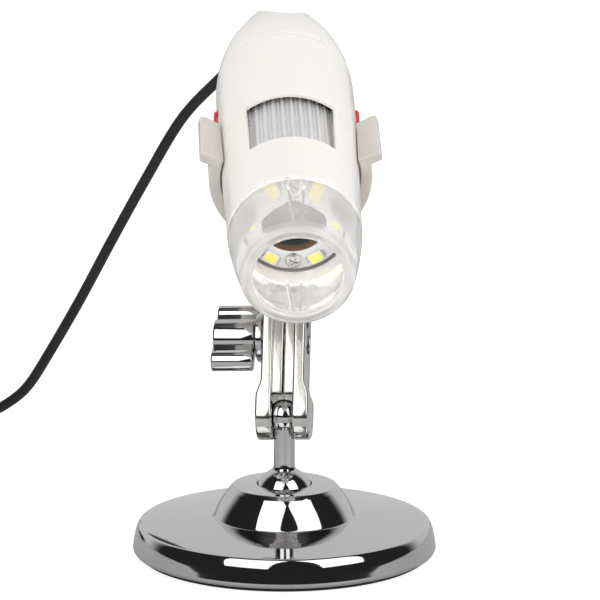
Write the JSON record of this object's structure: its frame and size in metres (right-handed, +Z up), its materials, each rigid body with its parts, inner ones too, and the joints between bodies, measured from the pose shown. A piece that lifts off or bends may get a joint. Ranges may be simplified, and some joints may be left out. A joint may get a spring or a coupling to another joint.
{
  "type": "digital microscope",
  "caption": "Handheld digital microscope with a clear lit nose and a ribbed focus wheel, held in an open cradle on a ball-jointed clamp stand with a round base.",
  "frame": {"origin": "centre of the base's underside, on the surface it stands on", "axes": "+Z up, the nose points along -Y, +X is to the right of someone who looks along +Y at the nose"},
  "size_m": [0.183, 0.1796, 0.1242],
  "materials": {
    "chrome": "mirror-bright plating",
    "steel": "satin",
    "white_plastic": "glossy moulded",
    "cradle_plastic": "cloudy translucent moulded",
    "clear_plastic": "clear, slightly milky",
    "black_plastic": "matt",
    "black_rubber": "matt",
    "silver_plastic": "satin silver",
    "red_plastic": "glossy",
    "white_board": "white solder mask",
    "green_board": "green solder mask",
    "phosphor": "yellow phosphor under clear gel",
    "lens_glass": "polished",
    "nylon": "natural"
  },
  "bodies": {
    "base": {"base_plate": "chrome", "base_pad": "black_rubber", "disc_spring": "steel", "retainer_plate": "steel", "retainer_screw_1": "steel", "retainer_screw_2": "steel", "retainer_screw_3": "steel"},
    "swivel": {"ball_cup": "nylon"},
    "post": {"lower_post": "chrome"},
    "clamp": {"clamp_plate_left": "chrome", "clamp_plate_right": "chrome", "clamp_screw": "steel", "knob_washer": "chrome"},
    "knob": {"wing_knob": "chrome"},
    "stud": {"upper_post": "chrome"},
    "cradle": {"cradle": "cradle_plastic", "cradle_nut": "steel"},
    "microscope": {"front_shell": "white_plastic", "rear_shell": "white_plastic", "tail_cap": "white_plastic", "strain_relief": "black_rubber", "optics_tube": "black_plastic", "sensor_board": "green_board", "image_sensor": "black_plastic", "main_board": "green_board", "left_switch": "black_plastic", "right_switch": "black_plastic", "led_board": "white_board", "led_carrier": "white_plastic", "led_1": "phosphor", "led_2": "phosphor", "led_3": "phosphor", "led_4": "phosphor", "led_5": "phosphor", "led_6": "phosphor", "led_board_screw_1": "steel", "led_board_screw_2": "steel", "cable_free": "black_rubber", "cable_coil": "black_rubber", "cable_lead": "black_rubber", "cable_tie": "black_rubber", "usb_plug_grip": "black_plastic", "usb_plug_shell": "steel", "usb_plug_tongue": "black_plastic"},
    "wheel": {"focus_wheel": "silver_plastic"},
    "optics": {"lens_barrel": "black_plastic", "lens": "lens_glass"},
    "button_left": {"left_button": "red_plastic"},
    "button_right": {"right_button": "red_plastic"},
    "cover": {"nose_cover": "clear_plastic"}
  },
  "joints": [
    {"name": "hub_swivel", "type": "hinge", "parent": "base", "child": "swivel", "pos_m": [0, 0, 0.0142], "axis": [0, 0, 1], "continuous": true},
    {"name": "hub_tilt", "type": "hinge", "parent": "swivel", "child": "post", "pos_m": [0, 0, 0.0142], "axis": [1, 0, 0], "range_deg": [-30, 30]},
    {"name": "clamp_tilt", "type": "hinge", "parent": "post", "child": "clamp", "pos_m": [0, 0, 0.0337], "axis": [-0.991, 0.1285, -0.0372], "range_deg": [-45, 30]},
    {"name": "knob_turn", "type": "hinge", "parent": "clamp", "child": "knob", "pos_m": [0.00052, 0.00893, 0.0508], "axis": [0.991, -0.1285, 0.0372], "continuous": true},
    {"name": "head_tilt", "type": "hinge", "parent": "clamp", "child": "stud", "pos_m": [0.00094, 0.01637, 0.06507], "axis": [0.991, -0.1285, 0.0372], "range_deg": [-45, 30]},
    {"name": "head_swivel", "type": "hinge", "parent": "stud", "child": "cradle", "pos_m": [0.00094, 0.01637, 0.06507], "axis": [0.016, -0.367, 0.9301], "continuous": true},
    {"name": "scope_slide", "type": "slide", "parent": "cradle", "child": "microscope", "axis": [0.0406, -0.9292, -0.3673], "range_m": [-0.008, 0.004]},
    {"name": "focus_turn", "type": "hinge", "parent": "microscope", "child": "wheel", "pos_m": [0.00254, -0.02029, 0.08176], "axis": [-0.0406, 0.9292, 0.3673], "range_deg": [-150, 150]},
    {"name": "lens_slide", "type": "slide", "parent": "microscope", "child": "optics", "axis": [-0.0406, 0.9292, 0.3673], "range_m": [-0.004, 0.004]},
    {"name": "button_left_press", "type": "slide", "parent": "microscope", "child": "button_left", "axis": [0.999, 0.0436, 0], "range_m": [0, 0.0006], "stiffness_N_per_m": 1000},
    {"name": "button_right_press", "type": "slide", "parent": "microscope", "child": "button_right", "axis": [-0.999, -0.0436, 0], "range_m": [0, 0.0006], "stiffness_N_per_m": 1000},
    {"name": "cover_pull", "type": "slide", "parent": "microscope", "child": "cover", "axis": [0.0406, -0.9292, -0.3673], "range_m": [0, 0.018]}
  ],
  "couplings": [
    {"joint": "lens_slide", "follows": "focus_turn", "m_per_rad": 0.0015279}
  ]
}
